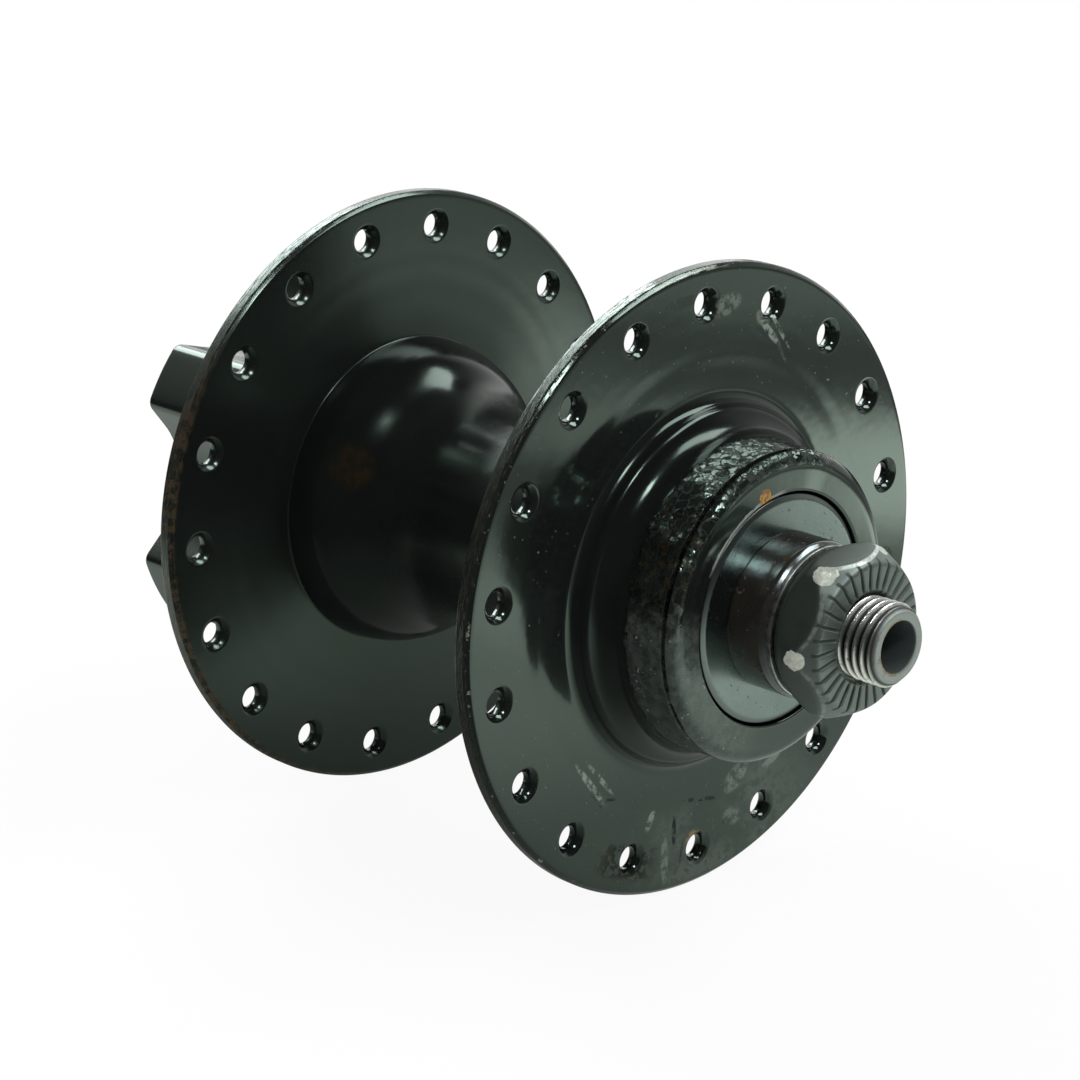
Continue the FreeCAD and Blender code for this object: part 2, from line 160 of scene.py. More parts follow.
class Value:
    """A shader socket on which sums can be written as in plain Python."""

    def __init__(self, shader, socket):
        self.shader = shader
        self.socket = socket

    def math(self, operation, *others, swapped=False):
        """One Math node on this socket and others, or on another and this one."""
        inputs = (others[0], self) if swapped else (self,) + others
        return self.shader.node("ShaderNodeMath", {"operation": operation}, dict(enumerate(inputs)))

    def __add__(self, other):
        return self.math("ADD", other)

    def __sub__(self, other):
        return self.math("SUBTRACT", other)

    def __rsub__(self, other):
        return self.math("SUBTRACT", other, swapped=True)

    def __mul__(self, other):
        return self.math("MULTIPLY", other)

    def __truediv__(self, other):
        return self.math("DIVIDE", other)

    def __rtruediv__(self, other):
        return self.math("DIVIDE", other, swapped=True)

    def __abs__(self):
        return self.math("ABSOLUTE")

    def most(self, other):
        """The larger of the two."""
        return self.math("MAXIMUM", other)

    __radd__ = __add__
    __rmul__ = __mul__


class Shader:
    """The nodes of a material or of the room, with the steps that both need."""

    def __init__(self, owner, output):
        owner.use_nodes = True
        self.tree = owner.node_tree
        self.tree.nodes.clear()
        self.output = self.tree.nodes.new(output)

    def node(self, kind, settings, inputs, output=0):
        """A node of this kind, with its settings made first and then the values or links of its sockets."""
        made = self.tree.nodes.new(kind)
        for key, value in settings.items():
            setattr(made, key, value)
        for key, value in inputs.items():
            if isinstance(value, Value):
                self.tree.links.new(value.socket, made.inputs[key])
            else:
                made.inputs[key].default_value = value
        return made if output is None else Value(self, made.outputs[output])

    def vectors(self, operation, *inputs, scale=1.0, output=0):
        """One step of vector maths."""
        inputs = {**dict(enumerate(inputs)), 3: scale}
        return self.node("ShaderNodeVectorMath", {"operation": operation}, inputs, output)

    def where(self):
        """Place on the piece in millimetres, as a vector and then as its three parts."""
        place = self.vectors("SCALE", self.node("ShaderNodeTexCoord", {}, {}, "Object"), scale=1 / MM)
        parts = self.node("ShaderNodeSeparateXYZ", {}, {0: place}, None).outputs
        return place, *(Value(self, part) for part in parts)

    def ramp(self, value, low, high, start=0.0, end=1.0):
        """Smooth step of value from start at low to end at high."""
        return self.node("ShaderNodeMapRange", {"interpolation_type": "SMOOTHSTEP"},
                         {0: value, 1: low, 2: high, 3: start, 4: end})

    def shade(self, value, tint=(1.0, 1.0, 1.0)):
        """Tint made brighter or darker by a value."""
        return self.node("ShaderNodeCombineColor", {}, {k: tint[k] * value for k in range(3)})

    def mix(self, share, first, second):
        """Colour that goes from the first to the second."""
        first, second = (c if isinstance(c, Value) else (*c, 1) for c in (first, second))
        return self.node("ShaderNodeMix", {"data_type": "RGBA"}, {0: share, 6: first, 7: second}, 2)


class Finish(Shader):
    """The material of one finish, with the place on the hub in millimetres and degrees at hand."""

    def __init__(self, name, metallic=0.0, ior=1.5, tint=(1, 1, 1)):
        self.material = bpy.data.materials.new(name)
        super().__init__(self.material, "ShaderNodeOutputMaterial")
        self.surface = self.tree.nodes.new("ShaderNodeBsdfPrincipled")
        self.tree.links.new(self.surface.outputs[0], self.output.inputs[0])
        for socket, value in (("Metallic", metallic), ("IOR", ior), ("Specular Tint", (*tint, 1))):
            self.surface.inputs[socket].default_value = value
        self.place, self.x, self.y, self.z = self.where()
        self.radius = (self.x * self.x + self.z * self.z).math("SQRT")
        self.angle = (self.z.math("ARCTAN2", self.x) * math.degrees(1) + 360.0).math("MODULO", 360.0)

    def vector(self, x, y, z):
        """Vector from its three parts."""
        return self.node("ShaderNodeCombineXYZ", {}, {0: x, 1: y, 2: z})

    def centred(self, vector):
        """Vector whose parts lie between 0 and 1, moved to lie between minus and plus a half."""
        return self.vectors("SUBTRACT", vector, (0.5, 0.5, 0.5))

    def noise(self, scale, detail=2.0, roughness=0.5, at=None, stretch=(1, 1, 1)):
        """Cloudy noise between 0 and 1, with scale in spots per millimetre."""
        where = self.vectors("MULTIPLY", at or self.place, stretch)
        return self.node("ShaderNodeTexNoise", {},
                         {"Vector": where, "Scale": scale, "Detail": detail, "Roughness": roughness})

    def noise_vector(self, scale, size):
        """Noise in three directions, each between plus and minus half of size."""
        inputs = {"Vector": self.place, "Scale": scale, "Detail": 2.0}
        three = self.node("ShaderNodeTexNoise", {}, inputs, 1)
        return self.vectors("SCALE", self.centred(three), scale=size)

    def band(self, value, low, high, soft):
        """One between low and high, and zero outside them, with soft edges."""
        rising = self.ramp(value, low - soft, low + soft)
        return rising * self.ramp(value, high - soft, high + soft, 1.0, 0.0)

    def bump(self, height, distance, strength=1.0):
        """Normal of a surface raised by height times distance, in metres."""
        return self.node("ShaderNodeBump", {},
                         {"Height": height, "Distance": distance, "Strength": strength})

    def spot(self, centre, size):
        """One within a ball of this size round a place in millimetres, with a soft edge."""
        away = self.vectors("DISTANCE", self.place, centre, output=1)
        return self.ramp(away, 0.6 * size, size, 1.0, 0.0)

    def stroke(self, angle, radius, lean, length, width):
        """One smear on a flange: an ellipse about a polar place, whose long axis leans from X."""
        from_x, from_z = polar(radius, angle)
        x = self.x - from_x
        z = self.z - from_z
        cos, sin = polar(1.0, lean)
        along = (x * cos + z * sin) / (length / 2)
        across = (z * cos - x * sin) / (width / 2)
        return self.ramp(along * along + across * across, 0.35, 1.1, 1.0, 0.0)

    def start(self, colour, roughness):
        """Bare finish before any marks are laid on it. Its height, in mm, gathers what the marks raise."""
        self.colour = colour
        self.roughness = roughness
        self.height = None
        self.leans = []

    def lay(self, mask, colour=None, share=1.0, roughness=0.0, rise=0.0):
        """One more mark: where mask is one it has this colour, is rougher, and stands up by rise."""
        if colour is not None:
            self.colour = self.mix(share * mask, self.colour, colour)
        if roughness:
            self.roughness = self.roughness + roughness * mask
        if rise:
            self.height = rise * mask if self.height is None else self.height + rise * mask

    def lean(self, direction, much):
        """Tips the surface by a direction times much, as facets and chips do."""
        self.leans.append((direction, self.vector(much, much, much)))

    def finished(self, **more):
        """Links the marks that were laid to the surface."""
        normal = self.bump(self.height, MM)
        for direction, much in self.leans:
            normal = self.vectors("MULTIPLY_ADD", direction, much, normal)
        if self.leans:
            normal = self.vectors("NORMALIZE", normal)
        return self.paint(Base_Color=self.colour, Roughness=self.roughness, Normal=normal, **more)

    def paint(self, **sockets):
        """Links what varies over the surface to the sockets of the finish."""
        for key, value in sockets.items():
            self.tree.links.new(value.socket, self.surface.inputs[key.replace("_", " ")])
        return self.material


def make_axle_steel():
    """Grey steel: dark dirt in the thread, bright scuffed crests, a turned end with a rusty inner edge."""
    s = Finish("axle_steel", metallic=1.0)
    streaks = s.noise(3.0, 3.0, 0.7, stretch=(1, 4, 1))
    turning = s.noise(7.0, 2.0, 0.6, at=s.vector(s.radius, 0.3 * s.y, 0.0))
    patches = s.noise(0.9, 4.0, 0.6)
    s.start(s.mix(streaks, (0.08, 0.088, 0.08), (0.36, 0.38, 0.35)), 0.34 + 0.15 * streaks)
    crest = s.ramp(s.radius, 4.12, 4.46)
    root_dirt = s.ramp(s.radius, 4.3, 4.05) * s.ramp(abs(s.y), 48.0, 49.0)
    s.lay(root_dirt, (0.02, 0.02, 0.018), 0.85, roughness=0.2)
    s.lay(crest * s.ramp(patches, 0.25, 0.45), (0.92, 0.94, 0.85), roughness=-0.16)
    end_face = s.ramp(abs(s.y), 53.6, 53.95)
    s.lay(end_face, s.mix(turning, (0.25, 0.29, 0.265), (0.60, 0.66, 0.61)), roughness=-0.02)
    s.lay(streaks, rise=0.02)
    s.lay(turning * end_face, rise=0.015)
    rust = s.ramp(patches, 0.6, 0.68) * s.ramp(streaks, 0.45, 0.6)
    s.lay(rust, (0.30, 0.19, 0.05), 0.7, roughness=0.2)
    inner_edge = s.band(s.radius, 2.75, 3.1, 0.08) * s.ramp(s.x, 1.0, -0.5)
    s.lay(inner_edge * s.ramp(patches, 0.42, 0.56), (0.45, 0.30, 0.09), 0.8, roughness=0.1)
    bore = s.ramp(s.radius, 2.8, 2.95, 1.0, 0.0)
    s.lay(bore, (0.045, 0.058, 0.055), roughness=0.25)
    return s.finished(Metallic=1.0 - 0.9 * bore)


axle_right, axle_left = node_ends("axle")
axle_columns = 96
axle_bore_radius = 2.75
axle_bore_ease = 0.3
axle_waist_radius = 4.175
waist_runout = 0.6
thread_radius = 4.5
thread_depth = 0.5
thread_pitch = 1.0
thread_from = 18.0
thread_seen = 5.2
thread_rows_per_turn = 14
end_radius = 3.75


def thread_wave(turns):
    """Height between 0 and 1 of a V thread with a flat crest and root, after a number of turns."""
    crest, root = 0.12, 0.1
    slope = np.abs((turns % 1.0) * 2 - 1)
    return np.clip((slope - root) / (1 - crest - root), 0, 1)


def threaded_end(end, inward, angles):
    """Rows of a threaded end: radius is the thread's wave on a helix, cut down by the end chamfer."""
    rows = int(thread_seen / thread_pitch * thread_rows_per_turn)
    depth_in = np.linspace(0, thread_seen, rows)[:, None]
    y = end + inward * depth_in + 0 * angles
    turns = inward * y / thread_pitch - angles / (2 * np.pi)
    radius = thread_radius - thread_depth * (1 - thread_wave(turns))
    radius = np.minimum(radius, end_radius + depth_in)
    radius = np.where(depth_in >= thread_seen - 0.05, thread_radius, radius)
    return np.stack([radius * np.cos(angles), y, radius * np.sin(angles)], axis=-1)


def axle_grids():
    """Both threaded ends, the turned-down middle between them, and the bore with the end faces."""
    angles = round_angles(axle_columns)
    middle = [
        (axle_right + thread_seen, thread_radius),
        (-thread_from, thread_radius),
        (-thread_from + waist_runout, axle_waist_radius),
        (thread_from - waist_runout, axle_waist_radius),
        (thread_from, thread_radius),
        (axle_left - thread_seen, thread_radius),
    ]
    bore = eased([
        (axle_right, end_radius - 0.02),
        (axle_right, axle_bore_radius, axle_bore_ease),
        (axle_left, axle_bore_radius, axle_bore_ease),
        (axle_left, end_radius - 0.02),
    ])
    bore = np.concatenate([[(axle_right, end_radius)], bore, [(axle_left, end_radius)]])
    return [threaded_end(axle_right, 1, angles), turned(middle, angles),
            threaded_end(axle_left, -1, angles), turned(bore, angles)]


make_piece("hollow_axle", axle_grids(), "axle_set", "axle", make_axle_steel())


# Bearing cones, cups and balls: hardened steel, ground and polished, with a thin film of brown grease.
# The cones screw onto the axle, the cups are pressed into the shell, and ten loose balls run in each pair.
def refinish(nodes, finish):
    """Gives this finish to CAD nodes that show as they are."""
    for node in nodes:
        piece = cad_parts[node]
        piece.data.materials.clear()
        piece.data.materials.append(finish)


def make_bearing_steel():
    """Polished steel, browner and rougher where the film of grease is thick."""
    s = Finish("bearing_steel", metallic=1.0)
    grease = s.ramp(s.noise(0.5, 4.0, 0.6), 0.4, 0.7)
    colour = s.mix(grease, (0.52, 0.52, 0.51), (0.22, 0.15, 0.08))
    lines = s.noise(6.0, 2.0, 0.5, stretch=(0.05, 1.0, 0.05))
    roughness = 0.12 + 0.2 * grease + 0.08 * lines
    return s.paint(Base_Color=colour, Roughness=roughness, Normal=s.bump(lines, 0.00001, 0.4))


refinish(["right_cone", "left_cone", "right_bearing_cup", "left_bearing_cup", "right_bearing_balls",
          "left_bearing_balls"], make_bearing_steel())


# Hub shell: one forging, taken as aluminium, turned and drilled, then painted gloss black. It has the
# bearing seats inside, 18 countersunk spoke holes in each flange, and six lobes with tapped holes for the
# brake disc on the left.
shell_columns = 288
grid_start = 10.0
shell_angles = round_angles(shell_columns, grid_start)

shell_low, shell_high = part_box("hub_shell")
flange_radius = shell_high.x / MM
right_end = shell_low.y / MM
left_end = shell_high.y / MM
right_face, right_inner = -26.65, -24.45
left_inner, left_face = 20.6, 22.8
rim_bevel = 0.45
rim_ease = 0.12
seam_radius = 17.15
seam_groove_half = 0.28
seam_floor = 16.15
seam_open = ((80, 198), (203, 216))
seam_runout = 2.5
barrel_radius = 11.95
barrel_bore_radius = 8.5
cup_seat_radius = 11.82
right_cup_floor, left_cup_floor = -27.58, 30.81
cup_mouth_step = 1.5
right_cap_seat_radius = 13.57
left_cap_seat_radius = 14.97
left_cap_floor = 38.3

spoke_count = 18
spoke_circle = 31.1
right_first_hole, left_first_hole = 10.0, 0.0
spoke_hole_radius = 1.3
spoke_sink_radius = 1.9
spoke_sink_edge = 0.14
columns_per_spoke = 16
cell_inner, cell_outer = 28.0, 34.4
cell_side_rows = 6


def spoke_cell(hole_angle):
    """Border of one flange cell round a spoke hole: along its inner arc, up, back along the outer, down."""
    half = 180.0 / spoke_count
    across = np.linspace(-half, half, columns_per_spoke + 1)
    up = np.linspace(cell_inner, cell_outer, cell_side_rows + 1)
    radius = np.concatenate([np.full(columns_per_spoke, cell_inner), up[:-1],
                             np.full(columns_per_spoke, cell_outer), up[:0:-1]])
    angle = np.concatenate([across[:-1], np.full(cell_side_rows, half),
                            across[:0:-1], np.full(cell_side_rows, -half)])
    angle = np.radians(angle + hole_angle)
    return np.stack([radius * np.cos(angle), radius * np.sin(angle)], axis=-1)


def hole_wall(border, centre, radii):
    """Rows of circles of the given radii round a hole's axis, in line with the border's points."""
    ray = border - centre
    ray = ray / np.linalg.norm(ray, axis=1, keepdims=True)
    return centre + np.asarray(radii)[:, None, None] * ray


def ring_to_hole(border, centre, hole_radius, shares):
    """Rows from a border to a round hole: each point slides along its own ray from the hole's centre."""
    shares = np.asarray(shares)[:, None, None]
    return border * (1 - shares) + hole_wall(border, centre, [hole_radius]) * shares


def lifted(rows, heights):
    """Gives flat rows (x, z) their heights along the hub axis."""
    y = np.broadcast_to(np.asarray(heights, float)[:, None], rows.shape[:2])
    return np.stack([rows[..., 0], y, rows[..., 1]], axis=-1)


def flange_holes(first_angle, low_face, high_face):
    """Spoke holes of one flange: for each hole the near face, the countersunk wall and the far face."""
    sink_depth = spoke_sink_radius - spoke_hole_radius
    wall = np.array([
        (0.0, spoke_sink_radius + spoke_sink_edge),
        (0.02, spoke_sink_radius + 0.35 * spoke_sink_edge),
        (0.09, spoke_sink_radius - 0.35 * spoke_sink_edge),
        (0.28, spoke_sink_radius - 0.28),
        (sink_depth - 0.06, spoke_hole_radius + 0.08),
        (sink_depth + 0.1, spoke_hole_radius),
    ])
    depths = np.concatenate([wall[:, 0], high_face - low_face - wall[::-1, 0]])
    radii = np.concatenate([wall[:, 1], wall[::-1, 1]])
    shares = [0.0, 0.35, 0.62, 0.84, 0.96]
    heights = np.concatenate([np.full(len(shares), low_face), low_face + depths,
                              np.full(len(shares), high_face)])
    grids = []
    for k in range(spoke_count):
        angle = first_angle + 360.0 * k / spoke_count
        centre = np.array(polar(spoke_circle, angle))
        border = spoke_cell(angle)
        face = ring_to_hole(border, centre, spoke_sink_radius + spoke_sink_edge, shares)
        rows = np.concatenate([face, hole_wall(border, centre, radii), face[::-1]])
        grids.append(lifted(rows, heights))
    return grids


def flange_rim(low_face, high_face):
    """Rim of a flange between the outer borders of its two faces."""
    return turned(eased([
        (low_face, cell_outer),
        (low_face, flange_radius - rim_bevel, rim_ease),
        (low_face + rim_bevel, flange_radius, rim_ease),
        (high_face - rim_bevel, flange_radius, rim_ease),
        (high_face, flange_radius - rim_bevel, rim_ease),
        (high_face, cell_outer),
    ]), shell_angles)


lobe_count = 6
lobe_phase = 25.4
lobe_tip_radius = 25.6
lobe_half_width = 5.0
lobe_draft = 18.0
lobe_corner = 1.4
lobe_valley_radius = 18.9
lobe_root_fillet = 1.8
lobe_edge_bevel = 0.35
lobe_edge_ease = 0.15
flat_hold = 0.12
columns_per_lobe = shell_columns // lobe_count
first_lobe_column = round((lobe_phase - grid_start) * shell_columns / 360.0) - columns_per_lobe // 2
bolt_circle = 22.0
bolt_radius = 2.1
bolt_bevel = 0.35
bolt_depth = 12.0
drill_half_angle = 59
disc_face = 39.5
register_radius = 17.45
register_bevel = 0.4
register_ease = 0.12


def half_lobe():
    """Half the outline of a lobe from its tip to the middle of the valley, with its outward normals.

    Four stretches: tip arc about the hub axis, corner arc, straight drafted side, hollow valley arc.
    """
    draft = math.radians(lobe_draft)
    step = math.pi / lobe_count
    offset = bolt_circle * math.sin(draft) + lobe_half_width * math.cos(draft)
    tip_end = math.asin((offset - lobe_corner) / (lobe_tip_radius - lobe_corner)) - draft
    lean = math.sin(step + draft)
    hollow = (lobe_valley_radius * lean - offset) / (1 - lean)
    side_normal = math.pi / 2 - draft

    def facing(angle):
        """Unit vector at an angle."""
        return np.array([[math.cos(angle), math.sin(angle)]])

    def arc(centre, radius, start, end, count):
        """Points at centre plus radius times the unit vector at each angle, and those unit vectors."""
        a = np.linspace(start, end, count, endpoint=False)[:, None]
        normal = np.concatenate([np.cos(a), np.sin(a)], axis=1)
        return centre + radius * normal, normal

    corner_centre = (lobe_tip_radius - lobe_corner) * facing(tip_end)
    valley_centre = (lobe_valley_radius + hollow) * facing(step)
    start = corner_centre + lobe_corner * facing(side_normal)
    end = valley_centre - hollow * facing(side_normal)
    share = np.linspace(0, 1, 4, endpoint=False)[:, None]
    stretches = [
        arc(np.zeros(2), lobe_tip_radius, 0, tip_end, 4),
        arc(corner_centre, lobe_corner, tip_end, side_normal, 6),
        (start + share * (end - start), np.repeat(facing(side_normal), 4, axis=0)),
        arc(valley_centre, -hollow, side_normal, step, 10),
        (lobe_valley_radius * facing(step), facing(step)),
    ]
    return [np.concatenate(part) for part in zip(*stretches)]


def lobe_outline():
    """Whole outline and its normals, a point for each column: half a lobe, mirrored, then turned round."""
    turns = np.radians(lobe_phase + 360.0 / lobe_count * np.arange(lobe_count))
    whole = []
    for half in half_lobe():
        lobe = np.concatenate([half[:0:-1] * (1, -1), half[:-1]])
        round_once = np.concatenate([lobe @ [[math.cos(t), math.sin(t)], [-math.sin(t), math.cos(t)]]
                                     for t in turns])
        whole.append(np.roll(round_once, first_lobe_column, axis=0))
    return whole


def disc_mount_grids():
    """Lobed wall with its root fillet, then for each lobe the flat top round its bolt hole."""
    outline, facing = lobe_outline()
    circle = np.stack([np.cos(shell_angles), np.sin(shell_angles)], axis=-1)
    arc = np.linspace(0, np.pi / 2, 6)
    edge = eased([
        (disc_face - 2.0, 0.0),
        (disc_face - lobe_edge_bevel, 0.0, lobe_edge_ease),
        (disc_face, -lobe_edge_bevel, lobe_edge_ease),
        (disc_face, -lobe_edge_bevel - flat_hold),
    ])
    side = [left_face + lobe_root_fillet + 0.15, (left_face + disc_face) / 2]
    offsets = np.concatenate([[lobe_root_fillet + flat_hold], lobe_root_fillet * (1 - np.sin(arc)),
                              np.zeros(len(side)), edge[:, 1]])
    heights = np.concatenate([[left_face], left_face + lobe_root_fillet * (1 - np.cos(arc)),
                              side, edge[:, 0]])
    wall = outline + offsets[:, None, None] * facing
    border = cell_inner * circle
    flat = border + np.array([0.0, 0.35, 0.7])[:, None, None] * (wall[0] - border)
    grids = [lifted(np.concatenate([flat, wall]), np.concatenate([np.full(len(flat), left_face), heights]))]
    shares = [0.0, 0.4, 0.75, 0.95]
    drill_tip = bolt_depth + bolt_radius / math.tan(math.radians(drill_half_angle))
    depth, radii = np.transpose([
        (0.0, bolt_radius + bolt_bevel + 0.06),
        (0.03, bolt_radius + bolt_bevel),
        (bolt_bevel, bolt_radius + 0.03),
        (bolt_bevel + 0.15, bolt_radius),
        (bolt_depth, bolt_radius),
        (drill_tip, 0.01),
    ])
    land = np.array([1 / 3, 2 / 3])[:, None]
    for k in range(lobe_count):
        columns = first_lobe_column + columns_per_lobe * k + np.arange(columns_per_lobe + 1)
        outer = wall[-1][columns % shell_columns]
        inner = register_radius * circle[columns % shell_columns]
        border = np.concatenate([outer, outer[-1] * (1 - land) + inner[-1] * land, inner[::-1],
                                 inner[0] * (1 - land) + outer[0] * land])
        centre = np.array(polar(bolt_circle, lobe_phase + 360.0 / lobe_count * k))
        face = ring_to_hole(border, centre, radii[0], shares)
        rows = np.concatenate([face, hole_wall(border, centre, radii)])
        grids.append(lifted(rows, disc_face - np.concatenate([np.zeros(len(shares)), depth])))
    return grids


def seam_bridged(grid):
    """Closes the seam where paint bridges it: points in the groove move out, but for two open stretches."""
    x, y, z = np.moveaxis(grid, -1, 0)
    r = np.hypot(x, z)
    degrees = np.degrees(np.arctan2(z, x)) % 360
    open_now = np.maximum(*(np.clip(np.minimum(degrees - first, last - degrees) / seam_runout, 0, 1)
                            for first, last in seam_open))
    in_groove = (np.abs(y - right_end) < seam_groove_half + 0.01) & (r > seam_floor - 0.02)
    out = 1 + (1 - open_now) * in_groove * np.maximum(seam_radius - 0.02 - r, 0) / r
    return np.stack([x * out, y, z * out], axis=-1)


def shell_grids():
    """All surfaces of the shell, from its right end over the outside to its left end and back inside."""
    right = turned(eased([
        (right_end, right_cap_seat_radius),
        (right_end, seam_floor, 0.03),
        (right_end + seam_groove_half, seam_floor, 0.03),
        (right_end + seam_groove_half, seam_radius, 0.08),
        (-31.52, 17.3, 0.35),
        (-28.5, 19.25, 0.1, -0.55),
        (-27.85, 19.9, 0.1, 0.1),
        (right_face, 21.5, 0.3, -0.35),
        (right_face, cell_inner),
    ]), shell_angles)
    middle = turned(eased([
        (right_inner, cell_inner),
        (right_inner, 17.0, 0.5),
        (right_inner + 4.8, barrel_radius, 0.6, -1.2),
        (5.0, barrel_radius, 1.6),
        (13.4, 15.5, 0.9, -0.9),
        (left_inner, 18.1, 0.25, 0.75),
        (left_inner, cell_inner),
    ], arc_steps=10), shell_angles)
    register = turned(eased([
        (disc_face, register_radius),
        (left_end - register_bevel, register_radius, register_ease),
        (left_end, register_radius - register_bevel, register_ease),
        (left_end, left_cap_seat_radius),
    ]), shell_angles)
    inside = turned([
        (left_end, left_cap_seat_radius),
        (left_cap_floor, left_cap_seat_radius),
        (left_cap_floor, cup_seat_radius),
        (left_cup_floor, cup_seat_radius),
        (left_cup_floor, barrel_bore_radius),
        (right_cup_floor, barrel_bore_radius),
        (right_cup_floor, cup_seat_radius),
        (right_end + cup_mouth_step, cup_seat_radius),
        (right_end + cup_mouth_step, right_cap_seat_radius),
        (right_end, right_cap_seat_radius),
    ], shell_angles)
    return [seam_bridged(right), middle, register, inside,
            flange_rim(right_face, right_inner), flange_rim(left_inner, left_face),
            *flange_holes(right_first_hole, right_face, right_inner),
            *flange_holes(left_first_hole, left_inner, left_face),
            *disc_mount_grids()]


def flange_waves(s, on_face):
    """Shallow grooves that turning left in both flanges, seen as rings where the reflections dip."""
    near_left = s.band(s.y, 18.0, 21.5, 0.5)
    grooves = (0.4 * near_left * s.band(s.radius, 24.0, 25.6, 0.9)
               + (1.0 - near_left) * s.band(s.radius, 24.4, 26.0, 0.9))
    s.lay(grooves * on_face, rise=-0.02)
    s.lay(s.ramp(s.radius, 26.6, 28.6) * near_left, rise=-0.02)
    s.lay(s.noise(0.3, 1.0, 0.4, at=s.vector(s.radius, 0.0, 0.0)) * on_face, rise=0.016)


def wrinkled_coat(s, edge):
    """Thick coat round the cap: glossy plates and cracks at the top, then brown dirt, then dull grey."""
    coat_end = s.ramp(s.y + 2.6 * edge, -30.2, -30.6)
    side = coat_end * s.ramp(s.radius, 15.6, 16.3)
    wrinkled = side * s.band(s.angle + 16.0 * edge, 72.0, 186.0, 7.0)
    dull = coat_end * s.band(s.angle + 20.0 * edge, 182.0, 262.0, 8.0)
    warp = s.vectors("ADD", s.place, s.noise_vector(1.0, 0.9))

    def cells(scale, feature, output):
        """Cells of the warped place, with scale in cells per millimetre."""
        inputs = {"Vector": warp, "Scale": scale}
        return s.node("ShaderNodeTexVoronoi", {"feature": feature}, inputs, output)

    crack = s.ramp(cells(0.8, "DISTANCE_TO_EDGE", "Distance"), 0.015, 0.07, 1.0, 0.0)
    s.lay(coat_end * s.band(s.angle, 70.0, 262.0, 8.0), rise=0.08)
    s.lay(s.noise(0.7, 2.0, 0.5) * wrinkled, rise=0.2)
    top = wrinkled * s.band(s.angle, 82.0, 124.0, 10.0)
    s.lean((0.0, -1.0, 0.0), 0.85 * top * s.ramp(s.y, -37.2, -36.4))
    s.lay(top, roughness=0.17)
    s.lay(crack * wrinkled, (0.002, 0.002, 0.002), 0.9, roughness=0.6)
    for scale, lean in ((0.8, 0.42), (1.7, 0.32)):
        s.lean(s.centred(cells(scale, "F1", "Color")), lean * wrinkled)
    dirt = wrinkled * s.band(s.angle, 134.0, 176.0, 8.0) * s.ramp(edge, 0.5, 0.6)
    s.lay(dirt, (0.022, 0.013, 0.006), 0.8, roughness=0.2)
    grey = s.mix(s.ramp(edge, 0.35, 0.65), (0.022, 0.026, 0.023), (0.050, 0.057, 0.051))
    s.lay(dull, grey, roughness=0.14)
    grain = s.noise(1.7, 2.0, 0.5)
    s.lay(grain * dull, rise=0.03)
    s.lay(dull * s.ramp(grain, 0.70, 0.74), (0.25, 0.26, 0.23), 0.8, roughness=0.2)


def cap_chips(s, edge):
    """Paint chipped off the inner edge of the cap at the top, with one rusty spot, and the seam painted
    black as painted shade.
    """
    lip = s.ramp(s.radius + 0.8 * edge, 13.75, 13.6) * s.ramp(s.y, -37.6, -37.9)
    chipped = lip * s.band(s.angle + 10.0 * edge, 96.0, 152.0, 5.0)
    s.lay(chipped, (0.30, 0.32, 0.28), 0.8, roughness=0.12)
    rust = s.ramp(s.spot((-3.0, -38.0, 13.1), 1.2) + 2.0 * edge, 1.5, 1.65)
    orange = s.mix(s.ramp(s.noise(2.5, 3.0, 0.6), 0.4, 0.6), (0.50, 0.25, 0.01), (0.20, 0.06, 0.002))
    s.lay(rust, orange, 0.95, roughness=0.3)
    # Painted shade: the open seam groove is painted black and rough.
    seam = s.band(s.y, right_end - 0.25, right_end + 0.25, 0.04) * s.ramp(s.radius, 17.08, 17.0)
    s.lay(seam, (0.001, 0.001, 0.001), 1.0, roughness=0.5)


